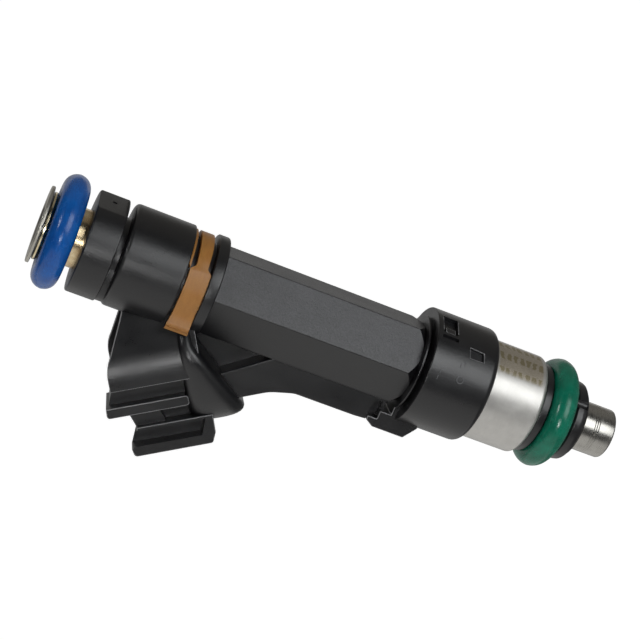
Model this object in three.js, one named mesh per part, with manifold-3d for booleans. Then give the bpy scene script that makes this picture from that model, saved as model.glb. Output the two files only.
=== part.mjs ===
// Port fuel injector: top-feed, ball valve, two-pin electrical connector.
// Millimetres. +Z runs along the injector towards the fuel inlet, +X points to the
// connector side, and the origin is the centre of the lower O-ring.
import * as THREE from 'three';
import { mergeVertices } from 'three/addons/utils/BufferGeometryUtils.js';
import Module from 'manifold-3d';

const wasm = await Module();
wasm.setup();

// ---------------------------------------------------------------- driving dimensions
const SEAL_SPACING = 66.35; // between the two O-ring centres
const SEAL_OUTER_R = 7.29; // outside radius of both O-rings
const TUBE_R = 3.75; // outside radius of the fuel tube and the valve body
const TUBE_BORE_R = 3.2;
const TUBE_CLEAR_R = 3.82; // bore of every piece that sits over the tube
const DISC_R = 4.875; // inlet flange
const DISC = { top: 69.15, bottom: 68.68 };

const COLLAR_TOP_Z = 63.55; // plastic body, from the inlet end down
const COLLAR_R = 6.5;
const COLLAR_TWO_R = 6.55;
const CLIP_GROOVE = { top: 59.8, bottom: 58.45, r: 5.05, filledR: 6.3 };
const BAND_GROOVE = { top: 51.25, bottom: 48.15, r: 5.3 };
const BAND = { outer: 6.22, inner: 5.42, top: 51.0, bottom: 48.3, leave: 63 };
const FLANGE_BOTTOM_Z = 46.75;
const HEX_CORNER_R = 5.92;
const HEX_TOP_Z = 46.3;
const HEX_BOTTOM_Z = 20.45;
const LOWER_COLLAR = { top: 19.12, bottom: 10.3, r: 7.6 };
const LIP = { top: 19.95, bottom: 19.65, r: 6.3 };

const HOUSING = { r: 6.575, bore: 5.75, top: 18.9, bottom: 2.95, floor: 4.7 };
const TIP_R = 3.3;
const TIP_END_Z = -8.85;
const TIP_STEP_Z = -1.8; // shoulder that carries the retainer
const RETAINER = { r: 5.35, top: -1.85, bottom: -3.95 };

// valve
const VALVE_LIFT = 0.1; // travel of the needle assembly
const CORE = { top: 30, bottom: 12.6, r: 3.14, bore: 1.75 };
const ARMATURE = { top: CORE.bottom - VALVE_LIFT - 0.03, bottom: 6.0, r: 3.14 };
const VALVE_TUBE = { top: 8.55, bottom: -4.6, r: 1.15, bore: 0.75 };
const BALL = { z: -5.9, r: 1.48 };
const SEAT = { top: -4.4, bottom: -8.0, r: 2.72, guide: 1.6, hole: 0.5 };
const SPRING = { bottom: 9.75, top: 20.4, coilR: 1.25, wire: 0.45, turns: 7 };
const JOINT_RING = { top: 13.95, bottom: 11.45 }; // joins the valve body to the fuel tube
const JOINT_GAP = 0.05;

// connector: its own frame has S along the socket (positive out of the mouth),
// N square to it (positive away from the tube) and Y shared with the part
const CONNECTOR_TILT = THREE.MathUtils.degToRad(31.5);
const RIM_S = 54.15;
const SOCKET_FLOOR_S = 47.6;
const FLANGE = { front: 44.4, back: 39.5 };
const SHELL = { inner: -25.0, outer: -14.9, narrow: 3.6, wide: 5.9 };
const WALL = 1.2;
const PIN_PITCH = 6.0;
const BLADE = { n: -20.2, thick: 0.64, wide: 1.5, tip: 52.2 };
const LEAD = { inner: 0.5, outer: 1.5, x: 7.1 }; // inner and outer are across the rib

const RING = 40; // facets round the large turned pieces
const FINE = 24; // facets round the bores and the small turned pieces

// ---------------------------------------------------------------- helpers
function welded(geometry) {
  const g = geometry.index ? geometry.clone() : geometry;
  g.deleteAttribute('normal');
  g.deleteAttribute('uv');
  return mergeVertices(g, 1e-4);
}

function signedVolume(geometry) {
  const p = geometry.attributes.position;
  const index = geometry.index.array;
  const [a, b, c] = [new THREE.Vector3(), new THREE.Vector3(), new THREE.Vector3()];
  let sum = 0;
  for (let i = 0; i < index.length; i += 3) {
    a.fromBufferAttribute(p, index[i]);
    b.fromBufferAttribute(p, index[i + 1]);
    c.fromBufferAttribute(p, index[i + 2]);
    sum += a.dot(b.cross(c));
  }
  return sum / 6;
}

// a geometry as a manifold solid with its faces pointing out
function solid(geometry) {
  const g = welded(geometry);
  const index = Uint32Array.from(g.index.array);
  if (signedVolume(g) < 0) {
    for (let i = 0; i < index.length; i += 3) {
      [index[i + 1], index[i + 2]] = [index[i + 2], index[i + 1]];
    }
  }
  const vertProperties = Float32Array.from(g.attributes.position.array);
  return new wasm.Manifold(new wasm.Mesh({ numProp: 3, vertProperties, triVerts: index }));
}

function toGeometry(manifold) {
  const mesh = manifold.getMesh();
  const positions = new Float32Array((mesh.vertProperties.length / mesh.numProp) * 3);
  for (let i = 0; i < positions.length / 3; i += 1) {
    for (let k = 0; k < 3; k += 1) {
      positions[3 * i + k] = mesh.vertProperties[mesh.numProp * i + k];
    }
  }
  const g = new THREE.BufferGeometry();
  g.setAttribute('position', new THREE.BufferAttribute(positions, 3));
  g.setIndex(new THREE.BufferAttribute(Uint32Array.from(mesh.triVerts), 1));
  return g;
}

function united(solids) {
  return solids.reduce((sum, next) => sum.add(next));
}

// a profile of [r, z] points turned about Z; one that misses the axis closes on itself
function turned(profile, facets = FINE) {
  const points = profile.map(([r, z]) => new THREE.Vector2(r, z));
  if (profile[0][0] > 0 || profile.at(-1)[0] > 0) {
    points.push(points[0].clone());
  }
  return new THREE.LatheGeometry(points, facets).rotateX(Math.PI / 2);
}

function ring(outer, inner, bottom, top, facets = FINE) {
  return turned([[inner, bottom], [outer, bottom], [outer, top], [inner, top]], facets);
}

function rod(r, bottom, top, facets = FINE) {
  return turned([[0, bottom], [r, bottom], [r, top], [0, top]], facets);
}

function outline(points) {
  return new THREE.Shape(points.map(([x, y]) => new THREE.Vector2(x, y)));
}

// a shape drawn in X and Z, extruded along Y and centred on the middle plane
function slab(shape, width, middle = 0) {
  const options = { depth: width, bevelEnabled: false, curveSegments: 6 };
  const g = new THREE.ExtrudeGeometry(shape, options);
  return g.translate(0, 0, -width / 2).rotateX(Math.PI / 2).translate(0, middle, 0);
}

// a shape drawn in X and Y, extruded upwards from one height to another
function column(shape, bottom, top, curveSegments = 6) {
  const options = { depth: top - bottom, bevelEnabled: false, curveSegments };
  return new THREE.ExtrudeGeometry(shape, options).translate(0, 0, bottom);
}

function block(x, y, z) {
  const g = new THREE.BoxGeometry(x[1] - x[0], y[1] - y[0], z[1] - z[0]);
  return g.translate((x[0] + x[1]) / 2, (y[0] + y[1]) / 2, (z[0] + z[1]) / 2);
}

// from the connector's frame (N, Y, S) to the part's frame
function tilted(geometry) {
  return geometry.rotateY(CONNECTOR_TILT);
}

// the same for a solid
function place(manifold) {
  return manifold.rotate([0, THREE.MathUtils.radToDeg(CONNECTOR_TILT), 0]);
}

// an annular sector between two angles in degrees
function sector(outer, inner, from, to) {
  const [a, b] = [THREE.MathUtils.degToRad(from), THREE.MathUtils.degToRad(to)];
  const shape = new THREE.Shape();
  shape.absarc(0, 0, outer, a, b, false);
  shape.absarc(0, 0, inner, b, a, true);
  shape.closePath();
  return shape;
}

const group = new THREE.Group();

function add(name, geometry, color, roughness, metalness) {
  const material = new THREE.MeshStandardMaterial({ color, roughness, metalness });
  const mesh = new THREE.Mesh(welded(geometry), material);
  mesh.name = name;
  group.add(mesh);
}

// ---------------------------------------------------------------- seals and rings
function oRing(centreZ) {
  const section = (SEAL_OUTER_R - TUBE_R - 0.06) / 2;
  const middle = SEAL_OUTER_R - section;
  return new THREE.TorusGeometry(middle, section, 10, RING).translate(0, 0, centreZ);
}

function retainerRing() {
  const { r, top, bottom } = RETAINER;
  const edge = 0.45;
  return turned([
    [TIP_R + 0.06, bottom],
    [r - edge - 0.3, bottom],
    [r - 0.12, bottom + edge],
    [r, bottom + 2 * edge],
    [r, top - edge],
    [r - edge, top],
    [TIP_R + 0.06, top],
  ], RING);
}

// C-shaped clip-on colour band, slotted round the back. Its ends leave the groove beside
// the connector and flare out over the sides of the shell.
function colourBand() {
  const { outer, inner, top, bottom, leave } = BAND;
  const start = THREE.MathUtils.degToRad(leave);
  const slot = { from: 122, to: 238, bottom: 50.35, top: 50.85 };
  const tipOut = [5.0, 6.45];
  const tipIn = [5.3, 5.7];
  const shape = new THREE.Shape();
  shape.absarc(0, 0, outer, start, -start, false);
  shape.quadraticCurveTo(3.9, -5.6, tipOut[0], -tipOut[1]);
  shape.lineTo(tipIn[0], -tipIn[1]);
  shape.quadraticCurveTo(4.0, -4.9, inner * Math.cos(start), -inner * Math.sin(start));
  shape.absarc(0, 0, inner, -start, start, true);
  shape.quadraticCurveTo(4.0, 4.9, tipIn[0], tipIn[1]);
  shape.lineTo(tipOut[0], tipOut[1]);
  shape.quadraticCurveTo(3.9, 5.6, outer * Math.cos(start), outer * Math.sin(start));
  const body = solid(column(shape, bottom, top, 24));
  const cut = column(sector(outer + 1, inner - 1, slot.from, slot.to), slot.bottom, slot.top, 12);
  return toGeometry(body.subtract(solid(cut)));
}

// ---------------------------------------------------------------- fuel inlet
function fuelTube() {
  const flareR = 4.3;
  const [lowerEnd, upperEnd] = [JOINT_RING.top + JOINT_GAP, DISC.bottom - 0.08];
  return turned([
    [TUBE_BORE_R, lowerEnd],
    [TUBE_R, lowerEnd],
    [TUBE_R, upperEnd - 0.8],
    [flareR, upperEnd - 0.3],
    [flareR, upperEnd],
    [TUBE_BORE_R, upperEnd],
  ]);
}

// non-magnetic ring that closes the gap between the valve body and the fuel tube
function jointRing() {
  return ring(TUBE_R, TUBE_BORE_R, JOINT_RING.bottom, JOINT_RING.top);
}

function inletFlange() {
  const hubR = TUBE_BORE_R - 0.03;
  const boreR = 2.94;
  const hubEndZ = 65.6;
  return turned([
    [boreR, hubEndZ],
    [hubR, hubEndZ],
    [hubR, DISC.bottom],
    [DISC_R, DISC.bottom],
    [DISC_R, DISC.top - 0.1],
    [DISC_R - 0.15, DISC.top],
    [boreR, DISC.top],
  ]);
}

// plastic frame of the inlet filter: collar, four ribs and a closed foot
function filterCage() {
  const foot = { bottom: 52.5, top: 53.6 };
  const collar = solid(ring(3.1, 2.55, 63.2, 64.6));
  const base = solid(rod(2.5, foot.bottom, foot.top));
  const ribs = [0, 1, 2, 3].map((i) => {
    const rib = block([2.28, 2.72], [-0.3, 0.3], [foot.bottom + 0.5, 63.9]);
    return solid(rib.rotateZ((i * Math.PI) / 2 + Math.PI / 4));
  });
  return toGeometry(united([collar, base, ...ribs]));
}

function filterMesh() {
  return ring(2.24, 2.08, 53.65, 63.15);
}

function adjustingSleeve() {
  const sleeve = solid(ring(1.7, 1.05, 20.5, 28.0));
  const slit = solid(block([0.5, 2.5], [-0.25, 0.25], [20, 29]));
  return toGeometry(sleeve.subtract(slit));
}

// ---------------------------------------------------------------- valve
class Helix extends THREE.Curve {
  getPoint(t, target = new THREE.Vector3()) {
    const angle = 2 * Math.PI * SPRING.turns * t;
    const z = SPRING.bottom + SPRING.wire / 2 + 0.02
      + (SPRING.top - SPRING.bottom - SPRING.wire - 0.04) * t;
    return target.set(SPRING.coilR * Math.cos(angle), SPRING.coilR * Math.sin(angle), z);
  }
}

function returnSpring() {
  const shape = new THREE.Shape().absarc(0, 0, SPRING.wire / 2, 0, 2 * Math.PI, false);
  const options = {
    steps: SPRING.turns * 10,
    curveSegments: 3,
    bevelEnabled: false,
    extrudePath: new Helix(),
  };
  return new THREE.ExtrudeGeometry(shape, options);
}

function armature() {
  const { r, top, bottom } = ARMATURE;
  return turned([
    [1.18, bottom],
    [r - 0.3, bottom],
    [r, bottom + 0.3],
    [r, top - 0.2],
    [r - 0.2, top],
    [1.62, top],
    [1.62, SPRING.bottom - 0.02],
    [0.78, SPRING.bottom - 0.02],
    [0.78, 8.6],
    [1.18, 8.6],
  ]);
}

// hollow shaft between armature and ball, with two rows of fuel exits
function valveTube() {
  const exitR = 0.32;
  const { r, bore, bottom, top } = VALVE_TUBE;
  const tube = solid(ring(r, bore, bottom, top));
  const exits = [[-3.2, 0], [3.4, Math.PI / 2]].map(([z, turn]) => {
    const drill = new THREE.CylinderGeometry(exitR, exitR, 4, 12);
    return solid(drill.rotateZ(turn).translate(0, 0, z));
  });
  return toGeometry(exits.reduce((left, exit) => left.subtract(exit), tube));
}

function valveBall() {
  return new THREE.SphereGeometry(BALL.r, 24, 16).rotateX(Math.PI / 2).translate(0, 0, BALL.z);
}

function valveSeat() {
  const { top, bottom, r, guide, hole } = SEAT;
  return turned([
    [hole, bottom],
    [r, bottom],
    [r, top],
    [guide, top],
    [guide, -6.5],
    [hole, -7.5],
  ]);
}

// thin plate with a ring of metering holes
function sprayDisc() {
  const holeR = 0.16;
  const plate = solid(rod(SEAT.r - 0.05, -8.32, SEAT.bottom - 0.03));
  const holes = [0, 1, 2, 3].map((i) => {
    const a = (i * Math.PI) / 2 + Math.PI / 4;
    const drill = new THREE.CylinderGeometry(holeR, holeR, 2, 10).rotateX(Math.PI / 2);
    return solid(drill.translate(0.3 * Math.cos(a), 0.3 * Math.sin(a), -8.2));
  });
  return toGeometry(holes.reduce((left, hole) => left.subtract(hole), plate));
}

function valveBody() {
  const seatBoreR = SEAT.r + 0.03;
  const upperEnd = JOINT_RING.bottom - JOINT_GAP;
  return turned([
    [seatBoreR, TIP_END_Z],
    [3.0, TIP_END_Z],
    [TIP_R - 0.08, TIP_END_Z + 0.22],
    [TIP_R, TIP_END_Z + 0.5],
    [TIP_R, TIP_STEP_Z],
    [TUBE_R, TIP_STEP_Z],
    [TUBE_R, upperEnd],
    [TUBE_BORE_R, upperEnd],
    [TUBE_BORE_R, 5.2],
    [2.0, 4.6],
    [2.0, SEAT.top + 0.05],
    [seatBoreR, SEAT.top + 0.05],
  ]);
}

// ---------------------------------------------------------------- magnetic circuit
function steelHousing() {
  const { r, bore, top, bottom, floor } = HOUSING;
  return turned([
    [TUBE_CLEAR_R, bottom],
    [r - 0.5, bottom],
    [r - 0.15, bottom + 0.15],
    [r, bottom + 0.5],
    [r, top],
    [bore, top],
    [bore, floor],
    [TUBE_CLEAR_R, floor],
  ], RING);
}

function fluxWasher() {
  const washer = solid(ring(HOUSING.bore - 0.06, TUBE_CLEAR_R, 17.4, 18.7));
  const gap = solid(block([3, 7], [-2.2, 2.2], [17, 19]));
  return toGeometry(washer.subtract(gap));
}

function coilBobbin() {
  const flangeR = HOUSING.bore - 0.1;
  const flangeThick = 0.8;
  const [bottom, top] = [4.8, 17.3];
  return turned([
    [TUBE_CLEAR_R, bottom],
    [flangeR, bottom],
    [flangeR, bottom + flangeThick],
    [4.3, bottom + flangeThick],
    [4.3, top - flangeThick],
    [flangeR, top - flangeThick],
    [flangeR, top],
    [TUBE_CLEAR_R, top],
  ]);
}

function coilWinding() {
  const ripple = 0.12;
  const turns = 7;
  const [bottom, top] = [5.65, 16.45];
  const profile = [[4.35, top], [4.35, bottom]];
  for (let i = 0; i < turns; i += 1) {
    const step = (top - bottom) / turns;
    profile.push([5.3 - ripple, bottom + step * i], [5.3, bottom + step * (i + 0.5)]);
  }
  profile.push([5.3 - ripple, top]);
  return turned(profile, 24);
}

// One stamped terminal: a riser from the coil, a lead up the rib, a step across the
// connector's foot and a flat blade in the socket. grow widens it all round, to make
// the channel that it lies in.
function terminal(side, grow = 0) {
  const y = [LEAD.inner - grow, LEAD.outer + grow];
  const half = BLADE.thick / 2 + grow;
  const bladeY = [PIN_PITCH / 2 - BLADE.wide / 2 - grow, PIN_PITCH / 2 + BLADE.wide / 2 + grow];
  const leadN = -12.1;
  const stepS = 42.4;
  const lower = [
    block([4.38 - half, 4.38 + half], y, [17.35, 22.7 + half]),
    block([4.38 - half, LEAD.x + half], y, [22.7 - half, 22.7 + half]),
    block([LEAD.x - half, LEAD.x + half], y, [22.7 - half, 35.9]),
  ];
  const upper = [
    block([leadN - half, leadN + half], y, [33.9, stepS + half]),
    block([BLADE.n - half, leadN + half], [y[0], bladeY[1]], [stepS - half, stepS + half]),
    block([BLADE.n - half, BLADE.n + half], bladeY, [stepS - half, BLADE.tip]),
  ].map(tilted);
  const whole = united([...lower, ...upper].map(solid));
  return side > 0 ? whole : whole.mirror([0, 1, 0]);
}

// ---------------------------------------------------------------- plastic body
// the collars, grooves and neck, as one turned solid without its bores
function bodyStack() {
  const edge = 0.4;
  const rim = 0.15;
  return turned([
    [0, LOWER_COLLAR.bottom],
    [LOWER_COLLAR.r - 0.75, LOWER_COLLAR.bottom],
    [LOWER_COLLAR.r - 0.2, LOWER_COLLAR.bottom + 0.3],
    [LOWER_COLLAR.r, LOWER_COLLAR.bottom + 1.0],
    [LOWER_COLLAR.r, LOWER_COLLAR.top - edge],
    [LOWER_COLLAR.r - edge, LOWER_COLLAR.top],
    [5.0, LOWER_COLLAR.top],
    [5.0, LIP.bottom],
    [LIP.r, LIP.bottom],
    [LIP.r, LIP.top],
    [5.0, LIP.top],
    [5.0, HEX_TOP_Z],
    [5.6, FLANGE_BOTTOM_Z],
    [COLLAR_TWO_R - 0.3, FLANGE_BOTTOM_Z],
    [COLLAR_TWO_R, FLANGE_BOTTOM_Z + 0.5],
    [COLLAR_TWO_R, BAND_GROOVE.bottom],
    [BAND_GROOVE.r, BAND_GROOVE.bottom],
    [BAND_GROOVE.r, BAND_GROOVE.top],
    [COLLAR_TWO_R, BAND_GROOVE.top],
    [COLLAR_TWO_R, CLIP_GROOVE.bottom - rim],
    [COLLAR_TWO_R - rim, CLIP_GROOVE.bottom],
    [CLIP_GROOVE.r, CLIP_GROOVE.bottom],
    [CLIP_GROOVE.r, CLIP_GROOVE.top],
    [COLLAR_R, CLIP_GROOVE.top],
    [COLLAR_R, COLLAR_TOP_Z - rim],
    [COLLAR_R - rim, COLLAR_TOP_Z],
    [0, COLLAR_TOP_Z],
  ], RING);
}

// the clip groove runs out towards the connector: its floor rises there to filledR
function grooveFloor() {
  const { top, bottom, r, filledR } = CLIP_GROOVE;
  const [full, none] = [25, 85];
  const points = [];
  for (let a = -180; a < 180; a += 6) {
    const t = THREE.MathUtils.smoothstep(none - Math.abs(a), 0, none - full);
    const radius = r - 0.1 + (filledR - r + 0.1) * t;
    const angle = THREE.MathUtils.degToRad(a);
    points.push([radius * Math.cos(angle), radius * Math.sin(angle)]);
  }
  return column(outline(points), bottom - 0.2, top + 0.2);
}

function hexagon() {
  const corners = [0, 1, 2, 3, 4, 5].map((i) => {
    const a = (i * Math.PI) / 3 + Math.PI / 6;
    return [HEX_CORNER_R * Math.cos(a), HEX_CORNER_R * Math.sin(a)];
  });
  return column(outline(corners), HEX_BOTTOM_Z, HEX_TOP_Z);
}

// The shell's section across the socket, in N and Y: narrow towards the tube, widest
// past the middle, with round corners. inset gives the socket's own section.
function shellSection(inset = 0) {
  const { inner, outer, narrow, wide } = SHELL;
  const [n0, n1] = [inner + inset, outer - inset];
  const [y0, y1] = [narrow - inset * 0.6, wide - inset];
  const [shoulder, heel] = [-19.4, -17.6];
  const shape = new THREE.Shape();
  shape.moveTo(n0, -y0 + 1);
  shape.lineTo(n0, y0 - 1);
  shape.quadraticCurveTo(n0, y0, n0 + 0.9, y0 + 0.6);
  shape.lineTo(shoulder - 0.8, y1 - 0.4);
  shape.quadraticCurveTo(shoulder + 0.3, y1, heel, y1 - 0.1);
  shape.quadraticCurveTo(n1 - 0.2, y1 - 0.3, n1, y1 - 2.6);
  shape.lineTo(n1, -y1 + 2.6);
  shape.quadraticCurveTo(n1 - 0.2, -y1 + 0.3, heel, -y1 + 0.1);
  shape.quadraticCurveTo(shoulder + 0.3, -y1, shoulder - 0.8, -y1 + 0.4);
  shape.lineTo(n0 + 0.9, -y0 - 0.6);
  shape.quadraticCurveTo(n0, -y0, n0, -y0 + 1);
  return shape;
}

// seen from the side, the mouth slopes back towards the tube past its middle
function mouthCut() {
  const shape = new THREE.Shape();
  shape.moveTo(-16.9, RIM_S);
  shape.quadraticCurveTo(-18.2, RIM_S, -19.4, RIM_S - 0.75);
  shape.lineTo(-27.3, RIM_S - 4.6);
  shape.lineTo(-27.3, RIM_S + 8);
  shape.lineTo(-16.9, RIM_S + 8);
  return slab(shape, 30);
}

function connectorFlange() {
  const { front, back } = FLANGE;
  const shape = new THREE.Shape();
  shape.moveTo(-24.5, front - 0.4);
  shape.lineTo(-22.5, front);
  shape.lineTo(-9.6, front);
  shape.quadraticCurveTo(-8.2, front - 0.2, -8.25, back + 2.6);
  shape.quadraticCurveTo(-8.7, back, -11.2, back - 0.6);
  shape.lineTo(-19.2, back + 2.7);
  shape.lineTo(-24.5, back + 3.2);
  const side = solid(slab(shape, 16));
  const across = new THREE.Shape();
  across.moveTo(-25, -3.3);
  across.lineTo(-25, 3.3);
  across.lineTo(-21.6, 4.4);
  across.quadraticCurveTo(-19.4, 6.6, -17, 6.5);
  across.quadraticCurveTo(-13.5, 6.0, -12, 5.1);
  across.lineTo(-8, 3.9);
  across.lineTo(-8, -3.9);
  across.lineTo(-12, -5.1);
  across.quadraticCurveTo(-13.5, -6.0, -17, -6.5);
  across.quadraticCurveTo(-19.4, -6.6, -21.6, -4.4);
  return side.intersect(solid(column(across, back - 3, front + 3)));
}

// two stepped guide rails with a latch ramp between them, on the outer side
function latchRails() {
  const webOne = outline([[-16.0, 42], [-16.0, 53.9], [-12.6, 55.0], [-12.6, 42]]);
  const plateOne = outline([
    [-12.75, 42], [-12.75, 55.25], [-11.85, 55.25], [-11.45, 54.8], [-11.45, 42],
  ]);
  const webTwo = outline([[-12, 42], [-12, 52.9], [-9.3, 52.0], [-9.3, 42]]);
  const blockTwo = outline([
    [-9.5, 42.45], [-9.5, 51.9], [-6.8, 53.1], [-6.2, 53.0], [-5.75, 52.5], [-5.75, 43.3],
  ]);
  const pieces = [
    solid(slab(webOne, 7.8)),
    solid(slab(plateOne, 9.2)),
    solid(slab(webTwo, 7.0)),
    solid(slab(blockTwo, 8.2)),
  ];
  const pockets = [1, -1].flatMap((side) => [
    solid(slab(outline([[-9.1, 43.5], [-9.1, 54], [-7.1, 54], [-7.1, 43.5]]), 1.4, side * 4.1)),
    solid(slab(outline([[-11.2, 44.2], [-11.2, 49], [-9.6, 49], [-9.6, 44.2]]), 1.0, side * 3.6)),
  ]);
  const channel = solid(block([-11.1, -5], [-2.2, 2.2], [45.4, 60]));
  const ramp = outline([[-11.4, 47.6], [-8.8, 47.6], [-8.8, 48.4], [-11.4, 52.2]]);
  const rails = pockets.reduce((left, pocket) => left.subtract(pocket), united(pieces));
  return rails.subtract(channel).add(solid(slab(ramp, 3.4)));
}

// rib that carries the leads from the valve end up to the connector's foot
function leadRib() {
  const rib = solid(slab(outline([
    [4.4, 20.8], [8.2, 20.8], [8.45, 24.2], [8.45, 33.0], [9.3, 35.4],
    [13.6, 42.3], [10.2, 43.5], [5.91, 37.87], [4.4, 35.9],
  ]), 5.8));
  const web = solid(slab(outline([
    [4.4, 35], [6.4, 36], [11, 43], [6.4, 48], [4.4, 48],
  ]), 2.4));
  const notches = [[1.95, 4], [-4, -1.95]].map((y) => solid(block([5.4, 8.4], y, [20.0, 22.2])));
  const clip = solid(slab(outline([
    [4.4, 15.9], [7.2, 15.9], [8.93, 17.2], [8.9, 21.4], [8.3, 22.2], [6.7, 22.2],
    [6.7, 19.8], [4.4, 19.8],
  ]), 6.0));
  return notches.reduce((left, cut) => left.subtract(cut), united([rib, web])).add(clip);
}

function bodyOvermould() {
  const beyondMouth = RIM_S + 8;
  const shell = solid(tilted(column(shellSection(), FLANGE.back + 3, beyondMouth)))
    .subtract(solid(tilted(mouthCut())))
    .subtract(solid(tilted(block([-40, 0], [-20, 20], [RIM_S, beyondMouth + 1]))));
  const outside = united([
    solid(bodyStack()),
    solid(grooveFloor()),
    solid(hexagon()),
    shell,
    place(connectorFlange()),
    place(latchRails()),
    leadRib(),
  ]);
  const socket = solid(tilted(column(shellSection(WALL), SOCKET_FLOOR_S, beyondMouth)));
  const window = solid(block([0, 2], [-1.6, 1.6], [16.6, 18.5])
    .translate(LOWER_COLLAR.r - 0.45, 0, 0).rotateZ(THREE.MathUtils.degToRad(157)));
  const cuts = [
    socket,
    window,
    solid(rod(TUBE_CLEAR_R, HOUSING.top - 1, COLLAR_TOP_Z + 1)),
    solid(rod(HOUSING.r + 0.04, LOWER_COLLAR.bottom - 1, HOUSING.top + 0.06, RING)),
    terminal(1, 0.12),
    terminal(-1, 0.12),
  ];
  return toGeometry(cuts.reduce((left, cut) => left.subtract(cut), outside));
}

// ---------------------------------------------------------------- the assembly
const STEEL = ['#c9c8c4', 0.28, 1.0];
const DARK_STEEL = ['#8f8f90', 0.4, 1.0];
const PLASTIC = ['#232226', 0.5, 0.0];

add('inlet_flange', inletFlange(), '#bdbbb2', 0.32, 1.0);
add('fuel_tube', fuelTube(), '#c9b98a', 0.3, 1.0);
add('filter_cage', filterCage(), '#d9d6c8', 0.6, 0.0);
add('filter_mesh', filterMesh(), '#e8e6dc', 0.8, 0.0);
add('upper_o_ring', oRing(SEAL_SPACING), '#0b4ea2', 0.3, 0.0);
add('body_overmould', bodyOvermould(), ...PLASTIC);
add('colour_band', colourBand(), '#9a6a3a', 0.5, 0.0);
add('terminal_left', toGeometry(terminal(1)), '#c8b27a', 0.3, 1.0);
add('terminal_right', toGeometry(terminal(-1)), '#c8b27a', 0.3, 1.0);
add('adjusting_sleeve', adjustingSleeve(), ...DARK_STEEL);
add('return_spring', returnSpring(), ...STEEL);
add('pole_core', ring(CORE.r, CORE.bore, CORE.bottom, CORE.top), ...DARK_STEEL);
add('nonmagnetic_ring', jointRing(), ...STEEL);
add('armature', armature(), ...DARK_STEEL);
add('valve_tube', valveTube(), ...STEEL);
add('valve_ball', valveBall(), ...STEEL);
add('valve_seat', valveSeat(), ...STEEL);
add('spray_disc', sprayDisc(), ...STEEL);
add('valve_body', valveBody(), ...STEEL);
add('coil_bobbin', coilBobbin(), '#3a3a3c', 0.6, 0.0);
add('coil_winding', coilWinding(), '#b0642e', 0.4, 0.8);
add('flux_washer', fluxWasher(), ...DARK_STEEL);
add('steel_housing', steelHousing(), ...STEEL);
add('o_ring_backing', ring(5.9, TUBE_CLEAR_R, 1.8, 2.88, RING), '#1b1b1d', 0.6, 0.0);
add('lower_o_ring', oRing(0), '#0f6b4c', 0.25, 0.0);
add('o_ring_retainer', retainerRing(), '#1d1c1e', 0.5, 0.0);

export default group;
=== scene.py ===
# Fuel injector: the finished surfaces, materials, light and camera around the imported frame.
# Lengths in the mesh code are millimetres in the part's own frame; MM turns them into metres.
import math

import bmesh
import bpy
from mathutils import Matrix, Vector


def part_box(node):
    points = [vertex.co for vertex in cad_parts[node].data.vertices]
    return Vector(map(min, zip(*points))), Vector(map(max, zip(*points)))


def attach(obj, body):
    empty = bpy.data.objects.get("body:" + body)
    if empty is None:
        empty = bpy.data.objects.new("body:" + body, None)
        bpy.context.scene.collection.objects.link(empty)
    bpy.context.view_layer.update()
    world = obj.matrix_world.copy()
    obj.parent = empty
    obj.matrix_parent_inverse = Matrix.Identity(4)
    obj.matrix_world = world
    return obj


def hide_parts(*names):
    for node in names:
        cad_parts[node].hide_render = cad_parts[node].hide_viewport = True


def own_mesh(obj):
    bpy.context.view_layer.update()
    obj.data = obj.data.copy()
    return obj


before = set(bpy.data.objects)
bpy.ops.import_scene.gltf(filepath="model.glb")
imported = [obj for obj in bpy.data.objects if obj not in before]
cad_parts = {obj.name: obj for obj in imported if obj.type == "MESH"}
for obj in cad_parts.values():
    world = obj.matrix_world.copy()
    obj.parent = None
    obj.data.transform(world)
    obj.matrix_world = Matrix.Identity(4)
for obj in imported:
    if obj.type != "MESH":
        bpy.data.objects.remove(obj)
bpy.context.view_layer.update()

MM = 0.001
BODY = "injector"
# Slot 1 is the light edge plastic, a painted edge highlight with a little wear; slot 2 is the
# grained plastic.
EDGE_WEAR_AND_HIGHLIGHT_SLOT, GRAINED_SLOT = 1, 2


def box_mm(node):
    """Lowest and highest corner of a CAD node, in millimetres."""
    low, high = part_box(node)
    return low / MM, high / MM


# ------------------------------------------------------------------ camera, light and floor
CAMERA_AT = Vector((-44.92, 182.96, 75.96)) * MM
CAMERA_RIGHT = Vector((-0.38989, 0.12326, -0.91258))
CAMERA_DOWN = Vector((0.89233, 0.29535, -0.34134))
CAMERA_FORWARD = Vector((0.22745, -0.94741, -0.22514))
FOCUS = Vector((2.0, 0.0, 30.0)) * MM
AXIS = Vector((0.0, 0.0, 1.0))
FLOOR_Z = -0.25


def placement(at, x, y, z):
    """A world matrix from a place and the directions of an object's own axes."""
    return Matrix.Translation(at) @ Matrix((x, y, z)).transposed().to_4x4()


def add_camera():
    data = bpy.data.cameras.new("camera")
    data.sensor_width = 36.0
    data.lens = 86.6
    data.clip_start = 0.01
    data.clip_end = 20.0
    camera = bpy.data.objects.new("camera", data)
    bpy.context.collection.objects.link(camera)
    camera.matrix_world = placement(CAMERA_AT, CAMERA_RIGHT, -CAMERA_DOWN, -CAMERA_FORWARD)
    bpy.context.scene.camera = camera


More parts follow.
